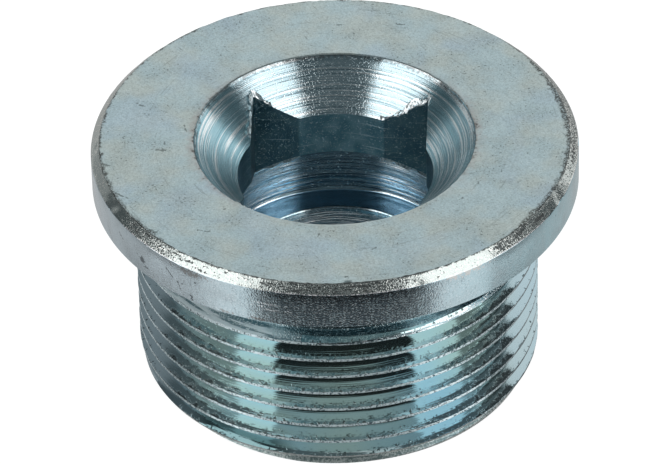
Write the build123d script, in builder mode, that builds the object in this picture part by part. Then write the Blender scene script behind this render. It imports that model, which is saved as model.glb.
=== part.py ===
from build123d import *
import math
import os

# Collar screw plug with a square drive socket, turned from one steel bar. The plug
# stands on its thread end: the origin is on the axis in the end face, +Z points up
# through the collar, and the flats of the socket are square to X and Y. Lengths are
# in millimetres.

# Collar
collar_diameter = 36.0
collar_thickness = 3.6
collar_top_chamfer = 0.65
collar_edge_break = 0.15

# Threaded shank: M30 x 1.5, drawn plain at its major diameter
thread_diameter = 30.0
shank_length = 15.7
end_chamfer_depth = 0.7
end_chamfer_length = 1.35

# Relief groove between the thread and the sealing face under the collar
relief_diameter = 27.7
relief_width = 3.5
relief_corner_radius = 0.4
thread_start_chamfer = 0.35

# Square drive socket and the pilot bore that it is broached from
drive_key_size = 13.0
drive_clearance = 0.1
drive_corner_radius = 0.2
pilot_bore_diameter = 14.5
countersink_diameter = 21.0
countersink_angle = 90.0

# Undercut that the broach runs out into, and the end of the pilot bore below it
undercut_side_clearance = 0.2
undercut_side_angle = 38.0
bore_above_undercut = 3.5
undercut_wall_height = 3.55
undercut_corner_radius = 0.35
pilot_bore_run_on = 0.3

overall_length = shank_length + collar_thickness
collar_radius = collar_diameter / 2
thread_radius = thread_diameter / 2
relief_radius = relief_diameter / 2
relief_bottom = shank_length - relief_width

drive_across_flats = drive_key_size + drive_clearance
drive_corner_reach = drive_across_flats * math.sqrt(2) / 2

pilot_radius = pilot_bore_diameter / 2
countersink_radius = countersink_diameter / 2
countersink_depth = (countersink_radius - pilot_radius) / math.tan(math.radians(countersink_angle / 2))

undercut_radius = drive_corner_reach + undercut_side_clearance
undercut_top = overall_length - countersink_depth - bore_above_undercut
undercut_wall_top = undercut_top - (undercut_radius - pilot_radius) * math.tan(math.radians(undercut_side_angle))
undercut_floor = undercut_wall_top - undercut_wall_height
pilot_floor = undercut_floor - pilot_bore_run_on

os.makedirs("parts", exist_ok=True)

with BuildPart() as plug_body:
    # Outside of the blank: end chamfer, thread diameter, relief groove and collar,
    # revolved from one half section.
    with BuildSketch(Plane.XZ):
        with BuildLine():
            Polyline(
                (0, 0),
                (thread_radius - end_chamfer_depth, 0),
                (thread_radius, end_chamfer_length),
                (thread_radius, relief_bottom - thread_start_chamfer),
                (thread_radius - thread_start_chamfer, relief_bottom),
                (relief_radius, relief_bottom),
                (relief_radius, shank_length),
                (collar_radius, shank_length),
                (collar_radius, overall_length),
                (0, overall_length),
                close=True,
            )
        make_face()
    revolve(axis=Axis.Z)

    # Tool-nose radius at both corners of the relief groove, then the collar's edges.
    relief_edges = plug_body.edges().filter_by(GeomType.CIRCLE).filter_by(
        lambda edge: math.isclose(edge.radius, relief_radius)
    )
    fillet(relief_edges, radius=relief_corner_radius)
    collar_edges = plug_body.edges().filter_by(GeomType.CIRCLE).filter_by(
        lambda edge: math.isclose(edge.radius, collar_radius)
    )
    chamfer(collar_edges.sort_by(Axis.Z)[-1], length=collar_top_chamfer)
    chamfer(collar_edges.sort_by(Axis.Z)[0], length=collar_edge_break)

    # Countersink, pilot bore and undercut, turned from above in one half section.
    with BuildSketch(Plane.XZ):
        with BuildLine():
            Polyline(
                (0, overall_length),
                (countersink_radius, overall_length),
                (pilot_radius, overall_length - countersink_depth),
                (pilot_radius, undercut_top),
                (undercut_radius, undercut_wall_top),
                (undercut_radius, undercut_floor),
                (pilot_radius, undercut_floor),
                (pilot_radius, pilot_floor),
                (0, pilot_floor),
                close=True,
            )
        make_face()
    revolve(axis=Axis.Z, mode=Mode.SUBTRACT)

    undercut_floor_edge = plug_body.edges().filter_by(GeomType.CIRCLE).filter_by(
        lambda edge: math.isclose(edge.radius, undercut_radius)
    ).sort_by(Axis.Z)[0]
    fillet(undercut_floor_edge, radius=undercut_corner_radius)

    # Square broached down from the countersink until its corners run out in the undercut.
    with BuildSketch(Plane.XY.offset(overall_length)):
        RectangleRounded(drive_across_flats, drive_across_flats, drive_corner_radius)
    extrude(amount=undercut_wall_top - overall_length, mode=Mode.SUBTRACT)

plug_body.part.label = "plug_body"
export_step(plug_body.part, "parts/plug_body.step")
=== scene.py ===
import math
import random

import bmesh
import bpy
from mathutils import Matrix, Vector, noise


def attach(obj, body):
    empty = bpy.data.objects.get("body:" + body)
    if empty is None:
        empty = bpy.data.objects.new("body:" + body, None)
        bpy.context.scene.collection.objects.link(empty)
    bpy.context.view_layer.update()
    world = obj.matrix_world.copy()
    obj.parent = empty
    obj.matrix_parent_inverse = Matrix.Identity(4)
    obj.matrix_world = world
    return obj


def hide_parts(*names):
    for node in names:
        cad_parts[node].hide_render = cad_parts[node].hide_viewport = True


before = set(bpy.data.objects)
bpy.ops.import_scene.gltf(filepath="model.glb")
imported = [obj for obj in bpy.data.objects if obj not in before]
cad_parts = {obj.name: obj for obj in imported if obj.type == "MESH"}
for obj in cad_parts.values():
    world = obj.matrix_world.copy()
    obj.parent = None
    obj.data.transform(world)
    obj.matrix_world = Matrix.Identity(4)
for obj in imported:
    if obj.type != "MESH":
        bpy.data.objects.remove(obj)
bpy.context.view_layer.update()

# ---------------------------------------------------------------------------
# Collar and relief groove: turned from a free-cutting steel bar, then zinc plated.
# The face is satin, and the chamfer round it is bruised from tumbling in the barrel.
# Sizes are in millimetres until the finished mesh is brought to metres.
# ---------------------------------------------------------------------------
mm = 0.001
columns = 400

collar_radius = 18.0
collar_underside = 15.7
top_face = 19.3
top_chamfer = 0.65
edge_break = 0.15
edge_round = 0.07
relief_radius = 13.85
relief_fillet = 0.2
collar_fillet = 0.4
shoulder = 12.2
relief_floor = 12.26
rim_radius = 10.5
rim_round = 0.14
face_edge = collar_radius - top_chamfer - 0.4
face_torn_to = 17.2


def arc(centre_r, centre_z, radius, start, stop, count):
    angles = [math.radians(start + (stop - start) * i / count) for i in range(count + 1)]
    return [(centre_r + radius * math.cos(a), centre_z + radius * math.sin(a)) for a in angles]


def line(first, last, count):
    return [tuple(a + (b - a) * i / count for a, b in zip(first, last)) for i in range(count + 1)]


def turned(mesh, section, rise=0.0):
    """Turn a half section, given as (radius, height) points, once round the axis, climbing by rise.
    A quarter is spun and copied on, which is far quicker than one long spin."""
    points = [mesh.verts.new((r, 0, z)) for r, z in section]
    edges = [mesh.edges.new(pair) for pair in zip(points, points[1:])]
    bmesh.ops.spin(
        mesh, geom=points + edges, cent=(0, 0, 0), axis=(0, 0, 1), dvec=(0, 0, rise / columns),
        angle=math.tau / 4, steps=columns // 4, use_merge=False, use_normal_flip=False, use_duplicate=False,
    )
    quarter = mesh.verts[:] + mesh.edges[:] + mesh.faces[:]
    for turn in (1, 2, 3):
        copy = bmesh.ops.duplicate(mesh, geom=quarter)["geom"]
        moved = [part for part in copy if isinstance(part, bmesh.types.BMVert)]
        bmesh.ops.rotate(mesh, cent=(0, 0, 0), matrix=Matrix.Rotation(turn * math.pi / 2, 3, "Z"), verts=moved)
        bmesh.ops.translate(mesh, vec=(0, 0, rise * turn / 4), verts=moved)
    bmesh.ops.remove_doubles(mesh, verts=mesh.verts[:], dist=0.001)


def set_radius(vert, radius):
    share = radius / math.hypot(vert.co.x, vert.co.y)
    vert.co.x *= share
    vert.co.y *= share


def uneven(vert, per_mm, shift=0.0):
    """Smooth noise of about -1 to 1 where a vertex lies."""
    return noise.noise(vert.co * per_mm + Vector((shift, 0, 0))) * 1.6


plug = bmesh.new()
chamfer_foot = top_face - top_chamfer
# The round between the side and the 45 degree chamfer, and how far in and up it ends.
edge_arc = 2.4 * edge_round
edge_end = 0.7 * edge_round
outside = (
    [(relief_radius + relief_fillet, relief_floor)]
    + arc(relief_radius + relief_fillet, relief_floor + relief_fillet, relief_fillet, 270, 180, 4)[1:]
    + line((relief_radius, relief_floor + relief_fillet), (relief_radius, collar_underside - collar_fillet), 2)[1:]
    + arc(relief_radius + collar_fillet, collar_underside - collar_fillet, collar_fillet, 180, 90, 5)[1:]
    + line((relief_radius + collar_fillet, collar_underside), (collar_radius - edge_break, collar_underside), 2)[1:]
    + [(collar_radius, collar_underside + edge_break)]
    + line((collar_radius, collar_underside + edge_break), (collar_radius, chamfer_foot - edge_round), 3)[1:]
    + arc(collar_radius - edge_arc, chamfer_foot - edge_round, edge_arc, 0, 45, 3)[1:]
    + line((collar_radius - edge_end, chamfer_foot + edge_end), (collar_radius - top_chamfer, top_face), 6)[1:]
    + [(face_edge, top_face)]
    + line((face_edge, top_face), (rim_radius + 0.08, top_face), 3)[1:]
    + [(rim_radius, top_face)]
)

finishes = {}


def linear(hex_colour):
    """An sRGB hex colour as linear RGBA."""
    parts = [int(hex_colour[i:i + 2], 16) / 255 for i in (1, 3, 5)]
    return tuple(c / 12.92 if c <= 0.04045 else ((c + 0.055) / 1.055) ** 2.4 for c in parts) + (1.0,)


def add(tree, kind, inputs=None, **settings):
    """Add a node and give back its first output. Inputs are values or outputs to link."""
    node = tree.nodes.new("ShaderNode" + kind)
    for name, value in settings.items():
        setattr(node, name, value)
    for socket, value in (inputs or {}).items():
        if isinstance(value, bpy.types.NodeSocket):
            tree.links.new(value, node.inputs[socket])
        else:
            node.inputs[socket].default_value = value
    return next((output for output in node.outputs if output.enabled), None)


def new_finish(name):
    """An empty material, and where a point of the plug lies: its place in millimetres, its radius,
    its height, and its direction from the axis."""
    material = bpy.data.materials.new(name)
    material.use_nodes = True
    tree = material.node_tree
    tree.nodes.clear()
    here = add(tree, "TexCoord").node.outputs["Object"]
    place = add(tree, "VectorMath", {0: here, "Scale": 1000}, operation="SCALE")
    flat = add(tree, "VectorMath", {0: place, 1: (1, 1, 0)}, operation="MULTIPLY")
    radius = add(tree, "VectorMath", {0: flat}, operation="LENGTH")
    height = add(tree, "SeparateXYZ", {0: place}).node.outputs[2]
    around = add(tree, "VectorMath", {0: flat}, operation="NORMALIZE")
    finishes[name] = material
    return tree, place, radius, height, around


def tool_lines(tree, across, around, per_mm, turns, detail=3.0):
    """Lines that the tool left round the axis, per_mm of them, each fading within about 1 / turns of a radian."""
    spread = add(tree, "VectorMath", {0: around, "Scale": turns}, operation="SCALE")
    ways = add(tree, "SeparateXYZ", {0: spread}).node.outputs
    lines = add(tree, "Math", {0: across, 1: per_mm}, operation="MULTIPLY")
    drawn = add(tree, "CombineXYZ", {0: lines, 1: ways[0], 2: ways[1]})
    return add(tree, "TexNoise", {"Vector": drawn, "Scale": 1.0, "Detail": detail, "Roughness": 0.6})


def by_angle(tree, around, levels):
    """A level that changes round the axis, given as (degrees, level) stops in turning order. It serves for wear
    on one side, and for tones that stand in for what the metal would mirror there."""
    ways = add(tree, "SeparateXYZ", {0: around}).node.outputs
    angle = add(tree, "Math", {0: ways[1], 1: ways[0]}, operation="ARCTAN2")
    turn = add(tree, "MapRange", {0: angle, 1: -math.pi, 2: math.pi})
    ramp = add(tree, "ValToRGB", {"Fac": turn}).node
    stops = ramp.color_ramp.elements
    stops[0].color = (levels[0][1],) * 3 + (1,)
    stops[1].color = (levels[-1][1],) * 3 + (1,)
    for degrees, level in levels:
        if abs(degrees) < 180:
            stops.new((degrees + 180) / 360).color = (level,) * 3 + (1,)
    return ramp.outputs[0]


def struck(tree, place, blows):
    """1 inside the marks of knocks and scrapes, 0 outside. Each is (radius, degrees, height, tilt, turn, size):
    tilt and turn lean its length from the way round, and size is its half lengths along, across and up."""
    shake = add(tree, "TexNoise", {"Vector": place, "Scale": 4.5, "Detail": 2.0})
    nearest = 9.0
    for radius, degrees, height, tilt, turn, size in blows:
        angle = math.radians(degrees)
        centre = (radius * math.cos(angle), radius * math.sin(angle), height)
        leaning = (0, math.radians(tilt), angle + math.radians(90 + turn))
        mark = add(
            tree, "Mapping", {"Vector": place, "Location": centre, "Rotation": leaning, "Scale": size},
            vector_type="TEXTURE",
        )
        off = add(tree, "VectorMath", {0: mark}, operation="LENGTH")
        nearest = add(tree, "Math", {0: off, 1: nearest}, operation="MINIMUM")
    ragged = add(tree, "Math", {0: shake, 1: 5.0, 2: nearest}, operation="MULTIPLY_ADD")
    return add(tree, "MapRange", {0: ragged, 1: 3.4, 2: 3.15})


def plated(tree, colour, roughness, height, depth_mm, lengthwise=0.0):
    """Zinc plate over a surface whose height of 0 to 1 stands for depth_mm, its gloss drawn out across
    the tool's lines by lengthwise."""
    bump = add(tree, "Bump", {"Height": height, "Strength": 1.0, "Distance": depth_mm * mm})
    inputs = {"Base Color": colour, "Metallic": 1.0, "Roughness": roughness, "Normal": bump}
    if lengthwise:
        ring = add(tree, "Tangent", direction_type="RADIAL", axis="Z")
        inputs |= {"Anisotropic": lengthwise, "Anisotropic Rotation": 0.25, "Tangent": ring}
    add(tree, "OutputMaterial", {"Surface": add(tree, "BsdfPrincipled", inputs)})


# Face: satin and faintly clouded, with fine grain, grit, short scratches, faint facing arcs,
# brown stain round the hole and a torn outer edge. The grain is drawn at 0.12 mm, coarser than
# the real one, so that it shows.
tree, place, radius, height, around = new_finish("satin_zinc_on_faced_steel")
cloud = add(tree, "TexNoise", {"Vector": place, "Scale": 0.35, "Detail": 3.0})
cloud = add(tree, "MapRange", {0: cloud, 1: 0.4, 2: 0.62})
colour = add(tree, "Mix", {"Factor": cloud, "A": linear("#BACED2"), "B": linear("#C0CCC9")}, data_type="RGBA")
blue = add(tree, "TexNoise", {"Vector": place, "Scale": 0.2, "Detail": 2.0, "Distortion": 0.6})
blue = add(tree, "MapRange", {0: blue, 1: 0.52, 2: 0.7, 3: 0.0, 4: 0.6})
colour = add(tree, "Mix", {"Factor": blue, "A": colour, "B": linear("#B4C9D5")}, data_type="RGBA")
patches = add(tree, "TexNoise", {"Vector": place, "Scale": 0.45, "Detail": 2.0})
patches = add(tree, "MapRange", {0: patches, 1: 0.38, 2: 0.68, 3: -0.05, 4: 0.06})
grain = add(tree, "TexNoise", {"Vector": place, "Scale": 8.0, "Detail": 1.0, "Roughness": 0.7})
shade = add(tree, "MapRange", {0: grain, 1: 0.52, 2: 0.30, 3: 0.0, 4: 0.36})
colour = add(tree, "Mix", {"Factor": shade, "A": colour, "B": linear("#7F8B89")}, data_type="RGBA")
shine = add(tree, "MapRange", {0: grain, 1: 0.58, 2: 0.74, 3: 0.0, 4: 0.45})
colour = add(tree, "Mix", {"Factor": shine, "A": colour, "B": linear("#DCE8E8")}, data_type="RGBA")
grit = add(tree, "TexNoise", {"Vector": place, "Scale": 5.5, "Detail": 1.0, "Roughness": 0.6})
grit = add(tree, "Math", {0: grit, 1: patches}, operation="ADD")
grit = add(tree, "MapRange", {0: grit, 1: 0.70, 2: 0.735, 3: 0.0, 4: 0.62})
arcs = add(tree, "MapRange", {0: tool_lines(tree, radius, around, 4.5, 3, 2.0), 1: 0.66, 2: 0.70, 3: 0.0, 4: 0.22})
marks = add(tree, "Math", {0: grit, 1: arcs}, operation="MAXIMUM")
for turn, stretch, shift in ((0.3, 6, 0), (-0.9, 9, 17)):
    drawn = add(
        tree, "Mapping",
        {"Vector": place, "Location": (shift, 3, 0), "Rotation": (0, 0, turn), "Scale": (stretch, 1, 1)},
        vector_type="TEXTURE",
    )
    scratch = add(tree, "TexNoise", {"Vector": drawn, "Scale": 8.0, "Detail": 0.0})
    scratch = add(tree, "MapRange", {0: scratch, 1: 0.83, 2: 0.88, 3: 0.0, 4: 0.4})
    marks = add(tree, "Math", {0: marks, 1: scratch}, operation="MAXIMUM")
blows = struck(tree, place, [
    (15.1, 166.8, top_face, 0, 70, (0.4, 0.09, 1)), (12.9, -171, top_face, 0, 80, (0.55, 0.12, 1)),
    (11.14, 176, top_face, 0, 20, (0.45, 0.06, 1)), (12.5, -174.8, top_face, 0, 5, (0.3, 0.07, 1)),
    (14.1, 92.9, top_face, 0, 0, (0.4, 0.07, 1)), (14.9, 74.3, top_face, 0, 10, (0.3, 0.08, 1)),
    (16.63, -83.3, top_face, 0, 30, (0.2, 0.13, 1)), (11.96, -25.3, top_face, 0, 15, (0.2, 0.1, 1)),
    (12.01, -35.3, top_face, 0, 70, (0.16, 0.1, 1)), (13.6, -74, top_face, 0, 20, (0.25, 0.08, 1)),
    (14.6, -128, top_face, 0, 30, (0.5, 0.08, 1)), (11.6, -92, top_face, 0, 90, (0.22, 0.05, 1)),
    (16.95, -166.4, top_face, 0, 60, (0.3, 0.14, 1)), (16.95, -153.6, top_face, 0, 30, (0.55, 0.08, 1)),
    (17.05, -136.8, top_face, 0, 20, (0.5, 0.18, 1)), (11.58, -129.7, top_face, 0, 80, (0.2, 0.07, 1)),
])
blows = add(tree, "Math", {0: blows, 1: 0.6}, operation="MULTIPLY")
marks = add(tree, "Math", {0: marks, 1: blows}, operation="MAXIMUM")
colour = add(tree, "Mix", {"Factor": marks, "A": colour, "B": linear("#4A524F")}, data_type="RGBA")
ragged = add(tree, "TexNoise", {"Vector": place, "Scale": 2.0, "Detail": 5.0, "Roughness": 0.75})
stained = by_angle(tree, around, [
    (-180, 1.0), (-150, 0.8), (-120, 0.15), (-60, 0.1), (-30, 0.4), (15, 1.0), (40, 0.4), (60, 0.15), (120, 0.15),
    (150, 0.6), (180, 1.0),
])
near_rim = add(tree, "Math", {0: ragged, 1: 2.4, 2: 9.3}, operation="MULTIPLY_ADD")
near_rim = add(tree, "Math", {0: near_rim, 1: radius}, operation="SUBTRACT")
stain = add(tree, "MapRange", {0: near_rim, 1: -0.6, 2: 0.1, 3: 0.0, 4: 0.55})
stain = add(tree, "Math", {0: stain, 1: stained}, operation="MULTIPLY")
colour = add(tree, "Mix", {"Factor": stain, "A": colour, "B": linear("#A69A96")}, data_type="RGBA")
pitted = add(tree, "MapRange", {0: near_rim, 1: 0.05, 2: 0.16})
stained = add(tree, "Math", {0: stained, 1: 0.85}, operation="MULTIPLY")
pitted = add(tree, "Math", {0: pitted, 1: stained}, operation="MULTIPLY")
colour = add(tree, "Mix", {"Factor": pitted, "A": colour, "B": linear("#4E4946")}, data_type="RGBA")
stretch_level = by_angle(tree, around, [
    (-180, 0.30), (-160, 0.38), (-138, 0.38), (-126, 0.12), (-45, 0.12), (-30, 0.55), (-12, 0.35), (20, 0.6),
    (45, 0.2), (180, 0.30),
])
outward = add(tree, "Math", {0: radius, 1: stretch_level}, operation="ADD")
near_edge = add(tree, "Math", {0: ragged, 1: 1.3, 2: outward}, operation="MULTIPLY_ADD")
torn = add(tree, "MapRange", {0: near_edge, 1: 18.12, 2: 18.22, 3: 0.0, 4: 0.85})
hollows = add(tree, "MapRange", {0: grain, 1: 0.48, 2: 0.62, 3: 1.0, 4: 0.25})
torn = add(tree, "Math", {0: torn, 1: hollows}, operation="MULTIPLY")
colour = add(tree, "Mix", {"Factor": torn, "A": colour, "B": linear("#3E3D39")}, data_type="RGBA")
roughness = add(tree, "MapRange", {0: patches, 1: -0.05, 2: 0.06, 3: 0.28, 4: 0.36})
surface = add(tree, "Math", {0: marks, 1: -0.9, 2: grain}, operation="MULTIPLY_ADD")
plated(tree, colour, roughness, surface, 0.007)

# Chamfer: bright where the tool cut it clean, torn at its inner edge and knocked in places. Its
# dark, speckled stretches round the axis are painted shade, darkest on the side toward the camera.
# The grain of the tears is drawn at 0.12 mm.
tree, place, radius, height, around = new_finish("bruised_zinc_on_chamfer")
# Painted shade: this level darkens and speckles the chamfer in stretches, most of all toward the camera.
stretch_level = by_angle(tree, around, [
    (-180, 0.0), (-148, 0.0), (-143, 0.8), (-128, 0.7), (-124, 0.2), (-106, 0.15), (-101, 0.7), (-96, 1.0),
    (-74, 1.0), (-69, 0.6), (-66, 0.1), (-48, 0.12), (-43, 1.0), (-30, 0.8), (-24, 0.25), (-10, 0.5), (0, 1.0),
    (25, 0.8), (60, 0.3), (180, 0.0),
])
specks = add(tree, "TexNoise", {"Vector": place, "Scale": 8.0, "Detail": 1.0, "Roughness": 0.7})
level = add(tree, "Math", {0: stretch_level, 1: -0.22, 2: specks}, operation="MULTIPLY_ADD")
dark = add(tree, "MapRange", {0: level, 1: 0.29, 2: 0.24})
streaks = tool_lines(tree, height, around, 5.0, 14, 3.0)
streaks = add(tree, "Math", {0: stretch_level, 1: 0.09, 2: streaks}, operation="MULTIPLY_ADD")
streaks = add(tree, "MapRange", {0: streaks, 1: 0.68, 2: 0.72})
dark = add(tree, "Math", {0: dark, 1: streaks}, operation="MAXIMUM")
ragged = add(tree, "TexNoise", {"Vector": place, "Scale": 2.6, "Detail": 4.0, "Roughness": 0.75})
near_edge = add(tree, "Math", {0: ragged, 1: 0.45, 2: radius}, operation="MULTIPLY_ADD")
dark = add(tree, "Math", {0: dark, 1: add(tree, "MapRange", {0: near_edge, 1: 17.62, 2: 17.57})}, operation="MAXIMUM")
blows = struck(tree, place, [
    (17.62, -123, 19.0, 0, 8, (0.75, 0.09, 0.09)), (17.82, -119.4, 18.84, 0, -6, (0.7, 0.08, 0.08)),
    (17.5, -113, 19.16, 0, 20, (0.18, 0.08, 0.08)), (17.6, -44.5, 19.05, 0, 10, (0.5, 0.13, 0.13)),
    (17.55, -36, 19.1, 0, 15, (0.9, 0.2, 0.2)), (17.7, -29, 18.95, 0, 0, (0.7, 0.2, 0.2)),
    (17.6, -2.7, 19.0, 0, 0, (1.2, 0.16, 0.16)),
])
dark = add(tree, "Math", {0: dark, 1: blows}, operation="MAXIMUM")
bright = add(tree, "MapRange", {0: specks, 1: 0.60, 2: 0.68})
colour = add(tree, "Mix", {"Factor": bright, "A": linear("#BEC5C2"), "B": linear("#EFECE6")}, data_type="RGBA")
share = add(tree, "Math", {0: dark, 1: 0.84}, operation="MULTIPLY")
colour = add(tree, "Mix", {"Factor": share, "A": colour, "B": linear("#373B3D")}, data_type="RGBA")
# A pale line runs where the chamfer meets the side, strongest in the dark stretches.
pale_edge_line = add(tree, "Math", {0: specks, 1: 0.16, 2: height}, operation="MULTIPLY_ADD")
pale_edge_line = add(tree, "MapRange", {0: pale_edge_line, 1: 18.80, 2: 18.77})
share = add(tree, "Math", {0: pale_edge_line, 1: stretch_level}, operation="MULTIPLY")
colour = add(tree, "Mix", {"Factor": share, "A": colour, "B": linear("#E9E6E8")}, data_type="RGBA")
roughness = add(tree, "MapRange", {0: dark, 1: 0.0, 2: 1.0, 3: 0.16, 4: 0.4})
rough = add(tree, "MapRange", {0: stretch_level, 1: 0.0, 2: 1.0, 3: 0.12, 4: 1.0})
surface = add(tree, "Math", {0: dark, 1: -0.5, 2: specks}, operation="MULTIPLY_ADD")
surface = add(tree, "Math", {0: surface, 1: rough}, operation="MULTIPLY")
plated(tree, colour, roughness, surface, 0.035)

# Side and underside of the collar: satin, with a sandy grain in upright rows on one side. The
# grain is drawn at 0.1 mm, coarser than the real one. On that side, toward the camera, its dark
# specks are painted shade and its light ones painted glints. The teal cast to one side is a
# painted reflection.
tree, place, radius, height, around = new_finish("grained_zinc_on_collar_side")
grain_and_painted_shade = by_angle(tree, around, [
    (-180, 0.1), (-150, 0.15), (-118, 0.25), (-107, 0.4), (-99, 0.9), (-94, 1.0), (-76, 1.0), (-68, 0.75),
    (-60, 0.35), (-48, 0.2), (0, 0.15), (180, 0.1),
])
specks = add(tree, "TexNoise", {"Vector": place, "Scale": 9.5, "Detail": 0.0})
rows = add(tree, "VectorMath", {0: place, 1: (6.5, 6.5, 1.0)}, operation="MULTIPLY")
rows = add(tree, "TexNoise", {"Vector": rows, "Scale": 1.0, "Detail": 1.0})
mixed = add(tree, "Math", {0: specks, 1: 0.6}, operation="MULTIPLY")
mixed = add(tree, "Math", {0: rows, 1: 0.55, 2: mixed}, operation="MULTIPLY_ADD")
dark_specks_and_painted_shade = add(tree, "Math", {0: grain_and_painted_shade, 1: 0.30, 2: mixed}, operation="MULTIPLY_ADD")
dark_specks_and_painted_shade = add(tree, "MapRange", {0: dark_specks_and_painted_shade, 1: 0.70, 2: 0.90})
crystals = add(tree, "TexVoronoi", {"Vector": place, "Scale": 5.5})
lit = add(tree, "MapRange", {0: crystals, 1: 0.42, 2: 0.26})
# Painted reflection: a teal cast to one side.
teal = by_angle(tree, around, [
    (-180, 0.1), (-125, 0.1), (-100, 0.5), (-60, 0.45), (-30, 1.0), (60, 1.0), (120, 0.5), (180, 0.1),
])
colour = add(tree, "Mix", {"Factor": teal, "A": linear("#BFCCD3"), "B": linear("#B0D0D8")}, data_type="RGBA")
cloud = add(tree, "TexNoise", {"Vector": place, "Scale": 0.6, "Detail": 3.0})
cloud = add(tree, "MapRange", {0: cloud, 1: 0.42, 2: 0.66, 3: 0.0, 4: 0.35})
colour = add(tree, "Mix", {"Factor": cloud, "A": colour, "B": linear("#9FA8AB")}, data_type="RGBA")
# Painted shade and glints: toward the camera the dark specks darken the colour and the light crystals brighten it.
dark_specks_and_painted_shade = add(tree, "Math", {0: dark_specks_and_painted_shade, 1: add(tree, "MapRange", {0: grain_and_painted_shade, 3: 0.12, 4: 0.72})}, operation="MULTIPLY")
colour = add(tree, "Mix", {"Factor": dark_specks_and_painted_shade, "A": colour, "B": linear("#3A4E5C")}, data_type="RGBA")
lit = add(tree, "Math", {0: lit, 1: add(tree, "MapRange", {0: grain_and_painted_shade, 3: 0.12, 4: 0.6})}, operation="MULTIPLY")
colour = add(tree, "Mix", {"Factor": lit, "A": colour, "B": linear("#DDE8EC")}, data_type="RGBA")
nicks = add(tree, "TexNoise", {"Vector": place, "Scale": 3.2, "Detail": 3.0, "Roughness": 0.6})
nicks = add(tree, "MapRange", {0: nicks, 1: 0.72, 2: 0.75})
blows = struck(tree, place, [
    (18, -137.4, 17.07, 10, 0, (0.4, 1, 0.2)), (18, -135.6, 16.57, 0, 0, (0.35, 1, 0.08)),
    (18, -128, 17.5, 42, 0, (0.7, 1, 0.05)), (18, -125, 16.7, 62, 0, (0.7, 1, 0.05)),
    (18, -120.4, 17.63, 70, 0, (0.24, 1, 0.07)), (18, -121.4, 16.1, 60, 0, (0.3, 1, 0.12)),
    (18, -146, 17.5, 30, 0, (0.5, 1, 0.05)), (18, -152, 16.4, 50, 0, (0.5, 1, 0.05)),
])
nicks = add(tree, "Math", {0: nicks, 1: blows}, operation="MAXIMUM")
share = add(tree, "Math", {0: nicks, 1: 0.75}, operation="MULTIPLY")
colour = add(tree, "Mix", {"Factor": share, "A": colour, "B": linear("#3E484B")}, data_type="RGBA")
scraped = struck(tree, place, [
    (18, -101.5, 17.5, 2, 0, (1.0, 1, 0.07)), (18, -100, 17.0, 0, 0, (1.15, 1, 0.08)),
    (18, -104, 17.25, 0, 0, (0.5, 1, 0.05)),
])
colour = add(tree, "Mix", {"Factor": scraped, "A": colour, "B": linear("#E4EFF4")}, data_type="RGBA")
stain = struck(tree, place, [
    (18, -121.5, 18.35, 0, 0, (1.5, 1, 0.22)), (18, -112, 15.95, 0, 0, (0.6, 1, 0.1)),
    (18, -103.6, 16.0, 0, 0, (0.8, 1, 0.12)),
])
share = add(tree, "Math", {0: stain, 1: 0.6}, operation="MULTIPLY")
colour = add(tree, "Mix", {"Factor": share, "A": colour, "B": linear("#8B8783")}, data_type="RGBA")
blush = struck(tree, place, [(18, -53.7, 18.6, 0, 0, (1.6, 1, 0.3))])
share = add(tree, "Math", {0: blush, 1: 0.5}, operation="MULTIPLY")
colour = add(tree, "Mix", {"Factor": share, "A": colour, "B": linear("#DCCFC6")}, data_type="RGBA")
rough = add(tree, "MapRange", {0: grain_and_painted_shade, 1: 0.0, 2: 1.0, 3: 0.12, 4: 1.0})
surface = add(tree, "Math", {0: nicks, 1: -0.4, 2: specks}, operation="MULTIPLY_ADD")
surface = add(tree, "Math", {0: surface, 1: rough}, operation="MULTIPLY")
plated(tree, colour, 0.2, surface, 0.022)

# Relief groove and shoulder: fine feed lines, bright, and whiter on the bevel below. The darker
# stretch is a painted reflection of dark, and the changes of gloss stand in for what the groove
# mirrors there.
tree, place, radius, height, around = new_finish("feed_lines_in_relief_groove")
lines = tool_lines(tree, height, around, 6.0, 3, 4.0)
grain = add(tree, "TexNoise", {"Vector": place, "Scale": 8.0, "Detail": 1.0})
sparks = add(tree, "MapRange", {0: grain, 1: 0.55, 2: 0.65})
surface = add(tree, "Math", {0: sparks, 1: 0.3, 2: lines}, operation="MULTIPLY_ADD")
share = add(tree, "MapRange", {0: lines, 1: 0.42, 2: 0.54})
colour = add(tree, "Mix", {"Factor": share, "A": linear("#6E9099"), "B": linear("#C6DEE4")}, data_type="RGBA")
bevel = add(tree, "Math", {0: add(tree, "MapRange", {0: height, 1: 12.3, 2: 12.2}), 1: 0.85}, operation="MULTIPLY")
share = add(tree, "MapRange", {0: lines, 1: 0.44, 2: 0.52})
pale = add(tree, "Mix", {"Factor": share, "A": linear("#82979D"), "B": linear("#F6FBFC")}, data_type="RGBA")
colour = add(tree, "Mix", {"Factor": bevel, "A": colour, "B": pale}, data_type="RGBA")
# Painted reflection of dark: this stretch of the groove is darkened.
painted_dark_reflection = by_angle(tree, around, [
    (-180, 0.0), (-104, 0.0), (-94, 0.65), (-66, 0.65), (-60, 0.0), (-48, 0.0), (-44, 0.8), (-20, 0.95), (-10, 0.0),
    (180, 0.0),
])
colour = add(tree, "Mix", {"Factor": painted_dark_reflection, "A": colour, "B": linear("#5A7982")}, data_type="RGBA")
share = add(tree, "Math", {0: sparks, 1: 0.8}, operation="MULTIPLY")
colour = add(tree, "Mix", {"Factor": share, "A": colour, "B": linear("#F2F9FA")}, data_type="RGBA")
roughness = by_angle(tree, around, [
    (-180, 0.14), (-150, 0.14), (-142, 0.42), (-124, 0.46), (-108, 0.36), (-100, 0.14), (180, 0.14),
])
plated(tree, colour, roughness, surface, 0.035)

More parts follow.
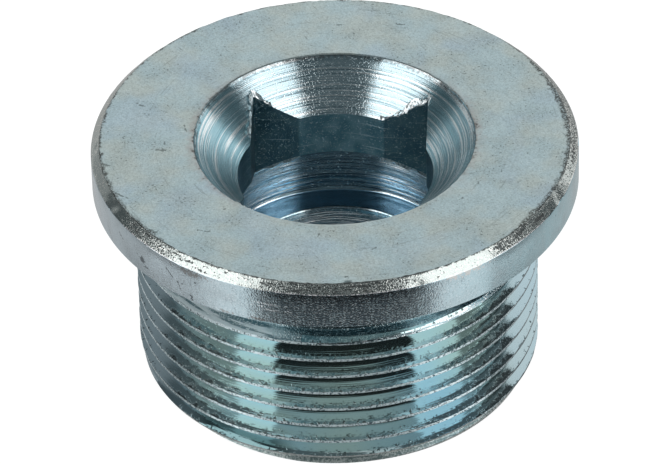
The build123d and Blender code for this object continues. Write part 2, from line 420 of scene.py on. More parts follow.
# ---------------------------------------------------------------------------
# Socket: a hole bored and countersunk on the lathe, undercut near its bottom, and
# then broached square. The tool left rings in the countersink and the undercut,
# and the broach left torn flats.
# ---------------------------------------------------------------------------
bore_radius = 7.25
half_flats = 6.55
cone_bottom = top_face - (rim_radius - bore_radius)
flare_top = 12.55
undercut_radius = 9.463
flare_bottom = 10.82
flare_slope = (flare_top - flare_bottom) / (undercut_radius - bore_radius)
undercut_floor = 7.27
undercut_fillet = 0.35
pilot_edge_round = 0.16
pilot_floor = 6.97

inside = (
    [(rim_radius, top_face), (rim_radius - rim_round * 0.6, top_face - rim_round * 0.25)]
    + line((rim_radius - rim_round, top_face - rim_round), (bore_radius, cone_bottom), 8)
    + line((bore_radius, cone_bottom), (bore_radius, flare_top), 4)[1:]
    + line((bore_radius, flare_top), (undercut_radius, flare_bottom), 3)[1:]
    + line((undercut_radius, flare_bottom), (undercut_radius, undercut_floor + undercut_fillet), 3)[1:]
    + arc(undercut_radius - undercut_fillet, undercut_floor + undercut_fillet, undercut_fillet, 0, -90, 6)[1:]
    + line(
        (undercut_radius - undercut_fillet, undercut_floor),
        (bore_radius + pilot_edge_round, undercut_floor), 2,
    )[1:]
    + arc(bore_radius + pilot_edge_round, undercut_floor - pilot_edge_round, pilot_edge_round, 90, 180, 3)[1:]
    + [(bore_radius, pilot_floor)]
    + line((bore_radius, pilot_floor), (0, pilot_floor), 4)[1:]
)
turned(plug, outside + inside[1:])


def socket_radius(angle):
    """Reach of the bore and the broached square at an angle round the axis."""
    return max(bore_radius, half_flats / max(abs(math.cos(angle)), abs(math.sin(angle))))


# Broach the square: each column of the countersink, bore and flare moves out to the flats.
for vert in plug.verts:
    r, z = math.hypot(vert.co.x, vert.co.y), vert.co.z
    if r > rim_radius - rim_round - 1e-4 or z < flare_bottom + 1e-4 or r < 1e-4:
        continue
    reach = socket_radius(math.atan2(vert.co.y, vert.co.x))
    if z > cone_bottom - 1e-4:
        outer = rim_radius - rim_round
        new_r = outer - (outer - r) / (outer - bore_radius) * (outer - reach)
        vert.co.z = top_face - (rim_radius - new_r)
    elif z > flare_top - 1e-4:
        new_r = reach
        top, bottom = top_face - (rim_radius - reach), flare_top - (reach - bore_radius) * flare_slope
        vert.co.z = top + (bottom - top) * (cone_bottom - z) / (cone_bottom - flare_top)
    else:
        new_r = reach + (undercut_radius - reach) * (r - bore_radius) / (undercut_radius - bore_radius)
        vert.co.z = flare_top - (new_r - bore_radius) * flare_slope
    set_radius(vert, new_r)

# Handling has bruised the chamfer and torn its inner edge, and the rim of the hole is not quite true.
for vert in plug.verts:
    r, z = math.hypot(vert.co.x, vert.co.y), vert.co.z
    if abs(z - top_face) < 1e-4 and abs(r - (collar_radius - top_chamfer)) < 1e-3:
        set_radius(vert, r - max(uneven(vert, 2.3), 0) * 0.1 - max(uneven(vert, 0.5, 9), 0) * 0.05)
    elif r > collar_radius - top_chamfer and z > top_face - top_chamfer - 1e-4:
        dent = max(uneven(vert, 0.8, 5) - 0.2, 0) * 0.04 + max(uneven(vert, 2.1, 2) - 0.3, 0) * 0.02
        set_radius(vert, r - dent)
        vert.co.z -= dent
    elif r > rim_radius - rim_round - 1e-3 and r < rim_radius + 1e-3 and z > top_face - 0.2:
        set_radius(vert, r + 0.018 * uneven(vert, 1.5, 3))

# Countersink: fine rings, drawn nine to the millimetre, that draw every light out across them,
# with sparks between that are painted glints, thickest on the far side, which faces the camera.
# Painted glints also run along the rings, and the blue cast of its two sides is a painted
# reflection.
tree, place, radius, height, around = new_finish("ringed_zinc_in_countersink")
rings = tool_lines(tree, radius, around, 9.0, 0.9, 2.0)
grain = add(tree, "TexNoise", {"Vector": place, "Scale": 9.5, "Detail": 0.0})
# Painted glints: this level sets where the bright sparks are thickest, and keeps them off the blue sides.
painted_glint_stretch = by_angle(tree, around, [(-180, 0.2), (45, 0.3), (62, 1.0), (128, 1.0), (145, 0.3), (180, 0.2)])
sparks = add(tree, "MapRange", {0: grain, 1: 0.60, 2: 0.74, 3: 0.0, 4: 0.65})
sparks = add(tree, "Math", {0: sparks, 1: painted_glint_stretch}, operation="MULTIPLY")
lines = add(tree, "MapRange", {0: rings, 1: 0.36, 2: 0.44})
aside = add(tree, "MapRange", {0: painted_glint_stretch, 1: 0.5, 2: 0.3})
glints = add(tree, "Math", {0: aside, 1: 0.05, 2: rings}, operation="MULTIPLY_ADD")
glints = add(tree, "MapRange", {0: glints, 1: 0.57, 2: 0.63})
colour = add(tree, "Mix", {"Factor": lines, "A": linear("#8CA6AF"), "B": linear("#C2D8DF")}, data_type="RGBA")
# Painted reflection: the blue cast of the two sides.
share = add(tree, "Math", {0: aside, 1: 0.5}, operation="MULTIPLY")
colour = add(tree, "Mix", {"Factor": share, "A": colour, "B": linear("#82BECC")}, data_type="RGBA")
share = add(tree, "Math", {0: glints, 1: sparks}, operation="MAXIMUM")
colour = add(tree, "Mix", {"Factor": share, "A": colour, "B": linear("#F4FAFB")}, data_type="RGBA")
ragged = add(tree, "TexNoise", {"Vector": place, "Scale": 2.6, "Detail": 4.0, "Roughness": 0.75})
near_rim = add(tree, "Math", {0: ragged, 1: 1.1, 2: radius}, operation="MULTIPLY_ADD")
pitted = add(tree, "MapRange", {0: near_rim, 1: 10.80, 2: 10.95, 3: 0.0, 4: 0.6})
colour = add(tree, "Mix", {"Factor": pitted, "A": colour, "B": linear("#5F5956")}, data_type="RGBA")
surface = add(tree, "Math", {0: sparks, 1: 0.25, 2: rings}, operation="MULTIPLY_ADD")
roughness = add(tree, "MapRange", {0: painted_glint_stretch, 1: 0.3, 2: 1.0, 3: 0.25, 4: 0.19})
plated(tree, colour, roughness, surface, 0.029, lengthwise=0.85)

# Broached flats and what is left of the bore: torn and dull, with bright flecks.
tree, place, radius, height, around = new_finish("torn_zinc_on_broached_flats")
grain = add(tree, "TexNoise", {"Vector": place, "Scale": 8.5, "Detail": 1.0, "Roughness": 0.7})
flecks = add(tree, "MapRange", {0: grain, 1: 0.61, 2: 0.74, 3: 0.0, 4: 0.7})
lines = tool_lines(tree, height, around, 5.0, 1.2, 2.0)
lines = add(tree, "MapRange", {0: lines, 1: 0.64, 2: 0.70, 3: 0.0, 4: 0.55})
teal = add(tree, "TexNoise", {"Vector": place, "Scale": 0.8, "Detail": 3.0})
share = add(tree, "MapRange", {0: teal, 1: 0.4, 2: 0.6})
colour = add(tree, "Mix", {"Factor": share, "A": linear("#7399A4"), "B": linear("#92B4BC")}, data_type="RGBA")
broached = add(tree, "MapRange", {0: radius, 1: bore_radius + 0.02, 2: bore_radius + 0.06, 3: 0.0, 4: 0.5})
colour = add(tree, "Mix", {"Factor": broached, "A": colour, "B": linear("#4F6C76")}, data_type="RGBA")
share = add(tree, "Math", {0: flecks, 1: lines}, operation="MAXIMUM")
colour = add(tree, "Mix", {"Factor": share, "A": colour, "B": linear("#E8F4F6")}, data_type="RGBA")
surface = add(tree, "Math", {0: grain, 1: lines}, operation="ADD")
surface = add(tree, "Math", {0: flecks, 1: 1.0, 2: surface}, operation="MULTIPLY_ADD")
plated(tree, colour, 0.28, surface, 0.03)

# Undercut wall and pilot hole: coarse bright rings, bluish. A stretch of the wall is darkened
# as a painted reflection of the dark that it mirrors.
tree, place, radius, height, around = new_finish("ringed_zinc_in_undercut")
across = add(tree, "Math", {0: height, 1: radius}, operation="SUBTRACT")
rings = tool_lines(tree, across, around, 4.4, 0.7, 2.0)
grain = add(tree, "TexNoise", {"Vector": place, "Scale": 8.5, "Detail": 0.0})
sparks = add(tree, "MapRange", {0: grain, 1: 0.62, 2: 0.72})
lines = add(tree, "MapRange", {0: rings, 1: 0.38, 2: 0.48})
colour = add(tree, "Mix", {"Factor": lines, "A": linear("#B2D8E6"), "B": linear("#F8FDFF")}, data_type="RGBA")
# Painted reflection of dark: this stretch of the wall is darkened.
painted_dark_reflection = by_angle(tree, around, [(-180, 0.0), (70, 0.0), (75, 0.8), (110, 0.8), (115, 0.0), (180, 0.0)])
painted_dark_reflection = add(tree, "Math", {0: painted_dark_reflection, 1: add(tree, "MapRange", {0: radius, 1: 7.0, 2: 7.3})}, operation="MULTIPLY")
colour = add(tree, "Mix", {"Factor": painted_dark_reflection, "A": colour, "B": linear("#4F6E7A")}, data_type="RGBA")
share = add(tree, "Math", {0: sparks, 1: 0.7}, operation="MULTIPLY")
colour = add(tree, "Mix", {"Factor": share, "A": colour, "B": linear("#F0F7F9")}, data_type="RGBA")
surface = add(tree, "Math", {0: sparks, 1: 0.12, 2: rings}, operation="MULTIPLY_ADD")
plated(tree, colour, 0.15, surface, 0.24)

# Floor of the undercut: burnished blue by the flat nose of the tool.
tree, place, radius, height, around = new_finish("burnished_zinc_on_undercut_floor")
plated(tree, linear("#9DC6E0"), 0.2, tool_lines(tree, radius, around, 8.0, 1.0, 1.0), 0.006)

# ---------------------------------------------------------------------------
# Thread: M30 x 1.5, cut with a single point, its crests left rough by the tool.
# Its section over ten turns goes round once and climbs one pitch, so that the last
# column meets the first one turn up.
# ---------------------------------------------------------------------------
thread_radius = 15.0
thread_root = 13.93
thread_pitch = 1.53
crest_width = 0.18
crest_height_at_x = 12.173
flank_slope = math.tan(math.radians(30))
end_radius = 14.3
end_chamfer_top = 1.35
start_chamfer = 0.24
start_chamfer_length = 0.4
end_face_edge = 13.4
coarse_height = 0.9

# The flanks would meet at a sharp root. A round nose fills it up to the root radius.
sharp_root = thread_radius - (thread_pitch - crest_width) / 2 / flank_slope
nose = thread_root - sharp_root


def end_bevel(height):
    """Radius of the blank's end chamfer at a height."""
    return end_radius + (thread_radius - end_radius) * height / end_chamfer_top


def start_bevel(height):
    """Radius of the blank's chamfer under the relief groove at a height."""
    return thread_radius - (height - (shoulder - start_chamfer_length)) * start_chamfer / start_chamfer_length


thread = bmesh.new()
section = []
for turn in range(1, 11):
    crest = crest_height_at_x + (turn - 10) * thread_pitch
    half = crest_width / 2
    foot = thread_radius - sharp_root - 1.5 * nose
    section += [(thread_radius - 0.002, crest - half), (thread_radius - 0.01, crest), (thread_radius, crest + half)]
    section += line((thread_radius, crest + half), (thread_radius - foot, crest + half + foot * flank_slope), 3)[1:-1]
    section += arc(sharp_root + 2 * nose, crest + thread_pitch / 2, nose, 240, 120, 6)
    section += line(
        (thread_radius - foot, crest + thread_pitch - half - foot * flank_slope),
        (thread_radius, crest + thread_pitch - half), 2,
    )[1:-1]
turned(thread, section, rise=thread_pitch)

for vert in thread.verts:
    r = math.hypot(vert.co.x, vert.co.y)
    if r > thread_radius - 0.02:
        # Torn crests are lower and so wider, with both their edges still on the flanks.
        torn = 0.015 + 0.02 * abs(uneven(vert, 2.3)) + 0.05 * max(uneven(vert, 1.1, 4) - 0.35, 0)
        side = 1 if r > thread_radius - 0.001 else -1 if r > thread_radius - 0.005 else 0
        set_radius(vert, thread_radius - torn)
        vert.co.z += side * torn * flank_slope
    # The chamfers of the blank cut the crests back at the end and under the relief groove.
    r = math.hypot(vert.co.x, vert.co.y)
    limit = min(thread_radius, end_bevel(max(vert.co.z, -1)), start_bevel(vert.co.z))
    if r > limit:
        set_radius(vert, limit)
for height, above in ((0, False), (shoulder, True)):
    bmesh.ops.bisect_plane(
        thread, geom=thread.verts[:] + thread.edges[:] + thread.faces[:], dist=1e-5,
        plane_co=(0, 0, height), plane_no=(0, 0, 1), clear_inner=not above, clear_outer=above,
    )
held = bpy.data.meshes.new("held")
thread.to_mesh(held)
thread.free()
plug.from_mesh(held)
bpy.data.meshes.remove(held)


def open_edges(low, high):
    """The open edges between two heights."""
    return [e for e in plug.edges if e.is_boundary and all(low < v.co.z < high for v in e.verts)]


# Close the shoulder, then the flat end face.
bmesh.ops.bridge_loops(plug, edges=open_edges(shoulder - 0.01, relief_floor + 0.01))
ring = bmesh.ops.extrude_edge_only(plug, edges=open_edges(-0.01, 0.01))["geom"]
for vert in ring:
    if isinstance(vert, bmesh.types.BMVert):
        set_radius(vert, end_face_edge)
bmesh.ops.holes_fill(plug, edges=[e for e in plug.edges if e.is_boundary], sides=0)
bmesh.ops.remove_doubles(plug, verts=plug.verts[:], dist=1e-4)
bmesh.ops.recalc_face_normals(plug, faces=plug.faces[:])


# Flanks of the thread: smooth where the tool burnished them and torn beside the crests, with
# deeper tears in two stretches, and faint blue and straw casts. The greyer sides are a painted
# reflection, and the darker lowest flank on one side is painted shade.
tree, place, radius, height, around = new_finish("burnished_zinc_on_thread_flanks")
tint = add(tree, "TexNoise", {"Vector": place, "Scale": 0.16, "Detail": 1.0})
tint = add(tree, "MapRange", {0: tint, 1: 0.40, 2: 0.62})
colour = add(tree, "Mix", {"Factor": tint, "A": linear("#C6E1E7"), "B": linear("#CDE2E1")}, data_type="RGBA")
upper = add(tree, "MapRange", {0: height, 1: 5.0, 2: 7.5})
straw = by_angle(tree, around, [(-180, 0.0), (-58, 0.0), (-50, 0.2), (-42, 0.2), (-36, 0.0), (180, 0.0)])
share = add(tree, "Math", {0: straw, 1: upper}, operation="MULTIPLY")
colour = add(tree, "Mix", {"Factor": share, "A": colour, "B": linear("#C9CDB4")}, data_type="RGBA")
straw = by_angle(tree, around, [
    (-180, 0.0), (-123, 0.0), (-114, 0.24), (-104, 0.24), (-98, 0.05), (-60, 0.0), (180, 0.0),
])
straw = add(tree, "Math", {0: straw, 1: add(tree, "MapRange", {0: radius, 1: 14.15, 2: 14.7})}, operation="MULTIPLY")
colour = add(tree, "Mix", {"Factor": straw, "A": colour, "B": linear("#CFD6BE")}, data_type="RGBA")
blue = by_angle(tree, around, [
    (-180, 0.0), (-82, 0.0), (-66, 0.25), (-58, 0.36), (-44, 0.36), (-34, 0.0), (180, 0.0),
])
blue = add(tree, "Math", {0: blue, 1: add(tree, "MapRange", {0: upper, 3: 1.0, 4: 0.3})}, operation="MULTIPLY")
colour = add(tree, "Mix", {"Factor": blue, "A": colour, "B": linear("#9CC7E0")}, data_type="RGBA")
# Painted reflection: the flanks are greyed on the sides.
painted_grey_reflection = by_angle(tree, around, [(-180, 1.0), (-150, 1.0), (-125, 0.0), (-35, 0.0), (-22, 0.7), (180, 1.0)])
share = add(tree, "Math", {0: painted_grey_reflection, 1: 0.8}, operation="MULTIPLY")
colour = add(tree, "Mix", {"Factor": share, "A": colour, "B": linear("#9DAFB9")}, data_type="RGBA")
# Painted shade: the lowest flank is darkened on one side.
painted_shade_low_flank = by_angle(tree, around, [(-180, 0.0), (-136, 0.0), (-128, 0.85), (-106, 0.85), (-99, 0.0), (180, 0.0)])
painted_shade_low_flank = add(tree, "Math", {0: painted_shade_low_flank, 1: add(tree, "MapRange", {0: height, 1: 2.0, 2: 1.5})}, operation="MULTIPLY")
colour = add(tree, "Mix", {"Factor": painted_shade_low_flank, "A": colour, "B": linear("#55777C")}, data_type="RGBA")
grain = add(tree, "TexNoise", {"Vector": place, "Scale": 8.5, "Detail": 1.0, "Roughness": 0.6})
down = add(tree, "Math", {0: height, 1: 0.8, 2: radius}, operation="MULTIPLY_ADD")
short = tool_lines(tree, down, around, 8.0, 50, 1.0)
near_crest = add(tree, "MapRange", {0: radius, 1: 14.45, 2: 14.85, 3: -0.14, 4: 0.05})
calmer = by_angle(tree, around, [
    (-180, 0.05), (-146, 0.05), (-138, 0.0), (-28, 0.0), (-24, 0.1), (150, 0.1), (180, 0.05),
])
near_crest = add(tree, "Math", {0: near_crest, 1: calmer}, operation="SUBTRACT")
peppered = add(tree, "Math", {0: short, 1: near_crest}, operation="ADD")
peppered = add(tree, "MapRange", {0: peppered, 1: 0.62, 2: 0.68, 3: 0.0, 4: 0.8})
tears = tool_lines(tree, down, around, 3.2, 20, 5.0)
torn_to = by_angle(tree, around, [
    (-180, 0.02), (-150, 0.03), (-139, 0.22), (-128, 0.22), (-119, 0.14), (-114, 0.0), (-54, 0.0), (-48, 0.10),
    (-42, 0.24), (-34, 0.40), (-28, 0.52), (-24.5, 0.05), (180, 0.02),
])
deep = add(tree, "Math", {0: tears, 1: 1.3, 2: radius}, operation="MULTIPLY_ADD")
deep = add(tree, "Math", {0: deep, 1: torn_to}, operation="ADD")
deep = add(tree, "Math", {0: grain, 1: 0.5, 2: deep}, operation="MULTIPLY_ADD")
deep = add(tree, "Math", {0: deep, 1: calmer}, operation="SUBTRACT")
under_bevel = add(tree, "MapRange", {0: height, 1: 11.2, 2: 11.6, 4: 0.25})
deep = add(tree, "Math", {0: deep, 1: under_bevel}, operation="SUBTRACT")
deep = add(tree, "MapRange", {0: deep, 1: 15.92, 2: 16.02})
flecks = add(tree, "MapRange", {0: grain, 1: 0.58, 2: 0.70, 3: 1.0, 4: 0.4})
deep = add(tree, "Math", {0: deep, 1: flecks}, operation="MULTIPLY")
torn = add(tree, "Math", {0: peppered, 1: deep}, operation="MAXIMUM")
share = add(tree, "Math", {0: torn, 1: 0.92}, operation="MULTIPLY")
colour = add(tree, "Mix", {"Factor": share, "A": colour, "B": linear("#222A2D")}, data_type="RGBA")
feed = tool_lines(tree, radius, around, 9.0, 2, 1.0)
roughness = add(tree, "MapRange", {0: torn, 3: 0.06, 4: 0.4})
roughness = add(tree, "Math", {0: painted_grey_reflection, 1: 0.12, 2: roughness}, operation="MULTIPLY_ADD")
coarse = add(tree, "Math", {0: grain, 1: 4.0}, operation="MULTIPLY")
surface = add(tree, "Math", {0: torn, 1: coarse, 2: feed}, operation="MULTIPLY_ADD")
plated(tree, colour, roughness, surface, 0.005)

# Crests: a rough bright line, with pits, toned down on one side.
tree, place, radius, height, around = new_finish("torn_zinc_on_crests")
grain = add(tree, "TexNoise", {"Vector": place, "Scale": 9.0, "Detail": 0.0})
pits = add(tree, "MapRange", {0: grain, 1: 0.38, 2: 0.46})
colour = add(tree, "Mix", {"Factor": pits, "A": linear("#5F757D"), "B": linear("#E6F8FD")}, data_type="RGBA")
toned_down = by_angle(tree, around, [(-180, 0.0), (-28, 0.0), (-24, 0.7), (110, 0.7), (150, 0.0), (180, 0.0)])
colour = add(tree, "Mix", {"Factor": toned_down, "A": colour, "B": linear("#5B6B72")}, data_type="RGBA")
plated(tree, colour, 0.32, grain, 0.05)

# End chamfer and end face: coarsely turned.
tree, place, radius, height, around = new_finish("coarse_zinc_on_end")
lines = tool_lines(tree, height, around, 6.5, 5, 2.0)
grain = add(tree, "TexNoise", {"Vector": place, "Scale": 7.0, "Detail": 1.0, "Roughness": 0.7})
surface = add(tree, "Math", {0: grain, 1: 0.5, 2: lines}, operation="MULTIPLY_ADD")
both = add(tree, "Math", {0: grain, 1: lines}, operation="ADD")
share = add(tree, "MapRange", {0: both, 1: 0.88, 2: 1.12})
colour = add(tree, "Mix", {"Factor": share, "A": linear("#96A7A8"), "B": linear("#F0F5F4")}, data_type="RGBA")
plated(tree, colour, 0.35, surface, 0.03)


def finish_of(face):
    """The finish of a face of the plug, from where it lies."""
    centre = face.calc_center_median()
    r, z = math.hypot(centre.x, centre.y), centre.z
    if r > rim_radius - 0.1 and (z > top_face - 0.003 or z > top_face - 0.06 and r < face_torn_to):
        return "satin_zinc_on_faced_steel"
    if r > face_edge and z > top_face - top_chamfer:
        return "bruised_zinc_on_chamfer"
    if z > collar_underside + 0.01 and r > rim_radius:
        return "grained_zinc_on_collar_side"
    if r > rim_radius and z > shoulder - 0.01:
        return "feed_lines_in_relief_groove"
    if z < 0.01 or r > rim_radius:
        if r > end_bevel(z) - 0.02 or z < coarse_height:
            return "coarse_zinc_on_end"
        if r > start_bevel(z) - 0.02:
            return "feed_lines_in_relief_groove"
        # On one side the bevel's lines run on over the flank above the first crest.
        angle = math.degrees(math.atan2(centre.y, centre.x))
        first_crest = crest_height_at_x + angle / 360 * thread_pitch
        if -152 < angle < -96 and z > first_crest + 0.12:
            return "feed_lines_in_relief_groove"
        if abs(face.normal.z) < 0.6 and r > thread_radius - 0.2:
            return "torn_zinc_on_crests"
        return "burnished_zinc_on_thread_flanks"
    if z > top_face - (rim_radius - r) - 0.02:
        return "ringed_zinc_in_countersink"
    if z > flare_top - max(r - bore_radius, 0) * flare_slope + 0.02:
        return "torn_zinc_on_broached_flats"
    if r > bore_radius + 0.14 and z < undercut_floor + 0.12:
        return "burnished_zinc_on_undercut_floor"
    return "ringed_zinc_in_undercut"


slots = list(finishes)
for face in plug.faces:
    face.material_index = slots.index(finish_of(face))

# ---------------------------------------------------------------------------
# Burrs: slivers of steel that the broach turned up along the corners of the countersink
# and left hanging where the flats end over the undercut, and one on the rim of the hole.
# They are bright and torn, and each is a closed shell of its own that overlaps the plug.
# ---------------------------------------------------------------------------
tree, place, radius, height, around = new_finish("bright_zinc_on_burrs")
grain = add(tree, "TexNoise", {"Vector": place, "Scale": 6.0, "Detail": 1.0})
share = add(tree, "MapRange", {0: grain, 1: 0.35, 2: 0.5})
colour = add(tree, "Mix", {"Factor": share, "A": linear("#8C999D"), "B": linear("#F2F6F6")}, data_type="RGBA")
plated(tree, colour, 0.35, grain, 0.04)

burr_thickness = 0.03
burr_steps = 3
chooser = random.Random(30)
slivers = list(finishes).index("bright_zinc_on_burrs")


def burr(start, stop, low, high, out, up, root="corner"):
    """A ragged sliver from one angle to another, in degrees, low to high long and leaning out and up by those
    shares. It grows from the corner of the countersink, from the flats' lower ends or from the hole's rim."""
    count = max(6, int(abs(stop - start) / 0.8))
    sliver = bmesh.new()
    points = []
    for i in range(count + 1):
        angle = math.radians(start + (stop - start) * i / count)
        reach = socket_radius(angle)
        z = {
            "corner": top_face - (rim_radius - reach),
            "flat": flare_top - (reach - bore_radius) * flare_slope + 0.02,
            "rim": top_face - 0.12,
        }[root]
        if root == "rim":
            reach = rim_radius - 0.1
        points.append(sliver.verts.new((math.cos(angle) * reach, math.sin(angle) * reach, z)))
    edges = [sliver.edges.new(pair) for pair in zip(points, points[1:])]
    run = chooser.random() * 40
    for _ in range(burr_steps):
        grown = bmesh.ops.extrude_edge_only(sliver, edges=edges)["geom"]
        tips = [part for part in grown if isinstance(part, bmesh.types.BMVert)]
        edges = [
            part for part in grown
            if isinstance(part, bmesh.types.BMEdge) and all(v in tips for v in part.verts)
        ]
        for vert in tips:
            away = Vector((vert.co.x, vert.co.y, 0)).normalized()
            side = away.cross(Vector((0, 0, 1)))
            wave = noise.noise(Vector((math.atan2(vert.co.y, vert.co.x) * 18, run, 0)))
            torn = 0.5 + wave + chooser.uniform(-0.2, 0.2)
            length = (low + (high - low) * min(max(torn, 0), 1)) / burr_steps
            vert.co += away * out * length + Vector((0, 0, up * length)) + side * chooser.uniform(-0.4, 0.4) * length
            vert.co += (Vector((0, 0, 1)) - away) * chooser.uniform(-0.02, 0.05)
    bmesh.ops.solidify(sliver, geom=sliver.faces[:], thickness=burr_thickness)
    bmesh.ops.recalc_face_normals(sliver, faces=sliver.faces[:])
    for vert in sliver.verts:
        vert.co.z = min(vert.co.z, top_face - 0.001)
    for face in sliver.faces:
        face.material_index = slivers
    data = bpy.data.meshes.new("sliver")
    sliver.to_mesh(data)
    sliver.free()
    plug.from_mesh(data)
    bpy.data.meshes.remove(data)


burr(128, 135.5, 0.10, 0.5, 0.72, 0.95)
burr(134.5, 151, 0.15, 0.6, 0.6, 1.0)
burr(43, 47, 0.2, 0.6, 0.72, 0.95)
burr(47, 57, 0.15, 1.1, 0.78, 0.86)
burr(57, 66, 0.08, 0.35, 0.72, 0.95)
burr(45, 58, 0.05, 0.35, -0.3, -0.9)
burr(135, 116, 0.08, 0.26, -0.15, -1.0, root="flat")
burr(45, 66, 0.1, 0.36, -0.15, -1.0, root="flat")
burr(-130, -122, 0.05, 0.25, 0.3, 0.5, root="rim")

# Trimming the thread leaves edges shorter than a fifth of a micron, which are closed up.
bmesh.ops.dissolve_degenerate(plug, edges=plug.edges[:], dist=0.0002)
bmesh.ops.scale(plug, vec=(mm, mm, mm), verts=plug.verts[:])
plug_mesh = bpy.data.meshes.new("plug")
plug.to_mesh(plug_mesh)
plug.free()
for material in finishes.values():
    plug_mesh.materials.append(material)
plug_mesh.shade_smooth()
plug_mesh.set_sharp_from_angle(angle=math.radians(28))
plug_piece = bpy.data.objects.new("plug", plug_mesh)
bpy.context.scene.collection.objects.link(plug_piece)
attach(plug_piece, "root")
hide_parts("plug_body")

# ---------------------------------------------------------------------------
# Camera: a long lens that looks down at the plug, aimed a little under the middle of
# its top face. The distance is from that middle, and the azimuth, in degrees from +X, is
# the direction that lamps and floor tones are measured from.
# ---------------------------------------------------------------------------
camera_data = bpy.data.cameras.new("camera")
camera_data.sensor_width = 36.0
camera_data.lens = 337.34
camera = bpy.data.objects.new("camera", camera_data)
bpy.context.scene.collection.objects.link(camera)
distance, elevation, turned_by = 0.46255, math.radians(36.9866), math.radians(4.5)
swing, dip, roll = 0.00029, math.radians(-0.86184), math.radians(-1.40239)
camera_azimuth = -85.5
camera.matrix_world = (
    Matrix.Rotation(turned_by, 4, "Z")
    @ Matrix.Translation((0, -distance * math.cos(elevation), distance * math.sin(elevation) + top_face * mm))
    @ Matrix.Rotation(math.pi / 2 - elevation, 4, "X")
    @ Matrix.Rotation(swing, 4, "Y")
    @ Matrix.Rotation(dip, 4, "X")
    @ Matrix.Rotation(roll, 4, "Z")
)
bpy.context.scene.camera = camera
bpy.context.scene.view_settings.view_transform = "Standard"

# ---------------------------------------------------------------------------
# Studio: a dim room with upright soft boxes round the plug, and one overhead that lights
# its face for views from above.
# ---------------------------------------------------------------------------
world = bpy.data.worlds.new("dim_studio")
bpy.context.scene.world = world
world.use_nodes = True
world.node_tree.nodes["Background"].inputs["Color"].default_value = (0.086, 0.104, 0.111, 1)


def wall_lamp(name, azimuth, width, height, away, foot, radiance):
    """A soft box that stands upright and faces the plug. Azimuth is from the camera, to its right."""
    data = bpy.data.lights.new(name, "AREA")
    data.shape = "RECTANGLE"
    data.size, data.size_y = width, height
    data.energy = radiance * math.pi * width * height
    lamp = bpy.data.objects.new(name, data)
    bpy.context.scene.collection.objects.link(lamp)
    turn = math.radians(azimuth + camera_azimuth)
    lamp.location = (away * math.cos(turn), away * math.sin(turn), foot + height / 2)
    lamp.rotation_euler = (math.pi / 2, 0, turn + math.pi / 2)
    lamp.visible_camera = False
    return lamp


wall_lamp("left_softbox", -64, 0.52, 0.95, 0.6, 0.0, 1.7)
wall_lamp("right_softbox", 60, 0.52, 0.95, 0.6, 0.0, 1.7)
wall_lamp("back_softbox", 180, 0.75, 0.75, 0.65, 0.0, 0.75)
wall_lamp("right_back_softbox", 133, 0.36, 0.6, 0.65, 0.0, 0.88)
wall_lamp("left_back_softbox", -133, 0.36, 0.5, 0.65, 0.0, 0.25)
overhead = wall_lamp("overhead_softbox", 0, 0.4, 0.4, 0.0, 0.5, 0.42)
overhead.rotation_euler = (0, 0, 0)

# ---------------------------------------------------------------------------
# Floor: white paper to the camera. In the steel's reflections it has sectors of tone in
# three rings round a dim foot. They stand in for pools of light and for dark things round
# the plug that the scene leaves out. A tone is (degrees to the camera's right, level).
# ---------------------------------------------------------------------------
foot_reach, near_reach, middle_reach = 0.0155, 0.0355, 0.0395


def sectors(tree, around, tones):
    """A tone for each direction round the plug."""
    return by_angle(
        tree, around,
        sorted((((degrees + camera_azimuth + 180) % 360) - 180, tone) for degrees, tone in tones),
    )


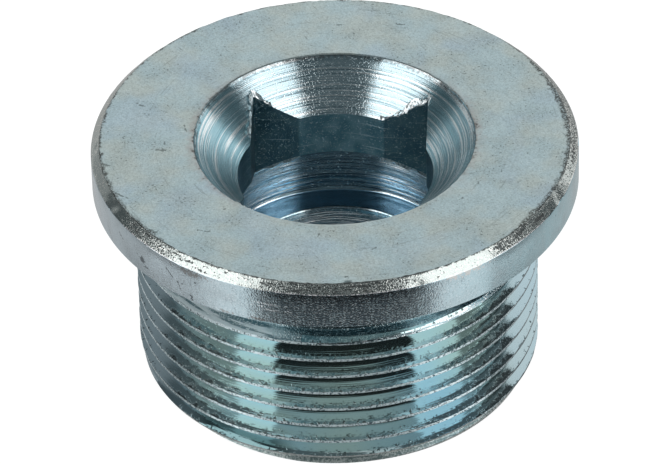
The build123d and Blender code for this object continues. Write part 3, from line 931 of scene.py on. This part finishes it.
floor_mesh = bmesh.new()
bmesh.ops.create_circle(floor_mesh, cap_ends=True, segments=64, radius=20)
bmesh.ops.translate(floor_mesh, vec=(0, 0, -0.00002), verts=floor_mesh.verts[:])
data = bpy.data.meshes.new("floor")
floor_mesh.to_mesh(data)
floor_mesh.free()
floor = bpy.data.objects.new("floor", data)
bpy.context.scene.collection.objects.link(floor)
paper = bpy.data.materials.new("white_paper_floor")
paper.use_nodes = True
tree = paper.node_tree
tree.nodes.clear()
here = add(tree, "TexCoord").node.outputs["Object"]
away = add(tree, "VectorMath", {0: here}, operation="LENGTH")
far = sectors(tree, here, [
    (-94, 0.5), (-84, 0.40), (-66, 0.29), (-52.5, 0.34), (-52, 1.0), (-32, 1.0), (-31.5, 0.02), (35.5, 0.02),
    (36, 1.0), (61, 1.0), (62, 0.28), (74, 0.28), (90, 0.5), (150, 0.5), (180, 0.42), (215, 0.5), (265, 0.5),
])
middle = sectors(tree, here, [
    (-94, 0.56), (-82, 0.68), (-74, 0.95), (-30.5, 0.95), (-30, 0.3), (34, 0.3), (34.5, 0.95), (74, 0.95), (84, 0.6),
    (150, 0.5), (180, 0.42), (215, 0.55), (265, 0.56),
])
near = sectors(tree, here, [
    (-94, 0.54), (-84, 0.42), (-66, 0.30), (-48, 0.38), (-47.5, 1.0), (-29.5, 1.0), (-29, 0.42), (32, 0.42),
    (32.5, 1.0), (56, 1.0), (57, 0.28), (70, 0.28), (86, 0.58), (150, 0.5), (180, 0.42), (215, 0.55), (265, 0.56),
])
share = add(tree, "MapRange", {0: away, 1: near_reach, 2: near_reach + 0.001})
tone = add(tree, "Mix", {"Factor": share, "A": near, "B": middle}, data_type="RGBA")
share = add(tree, "MapRange", {0: away, 1: middle_reach, 2: middle_reach + 0.0015})
tone = add(tree, "Mix", {"Factor": share, "A": tone, "B": far}, data_type="RGBA")
share = add(tree, "MapRange", {0: away, 1: foot_reach, 2: foot_reach + 0.001})
foot = add(tree, "Mix", {"Factor": share, "A": (0.3, 0.3, 0.3, 1), "B": tone}, data_type="RGBA")
path = add(tree, "LightPath").node.outputs
seen = add(tree, "Math", {0: path["Is Glossy Ray"], 1: path["Is Transmission Ray"]}, operation="MAXIMUM")
glow = add(tree, "Mix", {"Factor": path["Is Camera Ray"], "A": foot, "B": (0.9, 0.9, 0.9, 1)}, data_type="RGBA")
level = add(tree, "Math", {0: seen, 1: path["Is Camera Ray"]}, operation="MAXIMUM")
glowing = add(tree, "Emission", {"Color": glow, "Strength": level})
matt = add(tree, "BsdfDiffuse", {"Color": (0.35, 0.35, 0.35, 1)})
matt_seen = add(tree, "MixShader", {"Fac": seen, 1: matt, 2: add(tree, "BsdfDiffuse", {"Color": (0.0, 0.0, 0.0, 1)})})
add(tree, "OutputMaterial", {"Surface": add(tree, "AddShader", {0: matt_seen, 1: glowing})})
data.materials.append(paper)
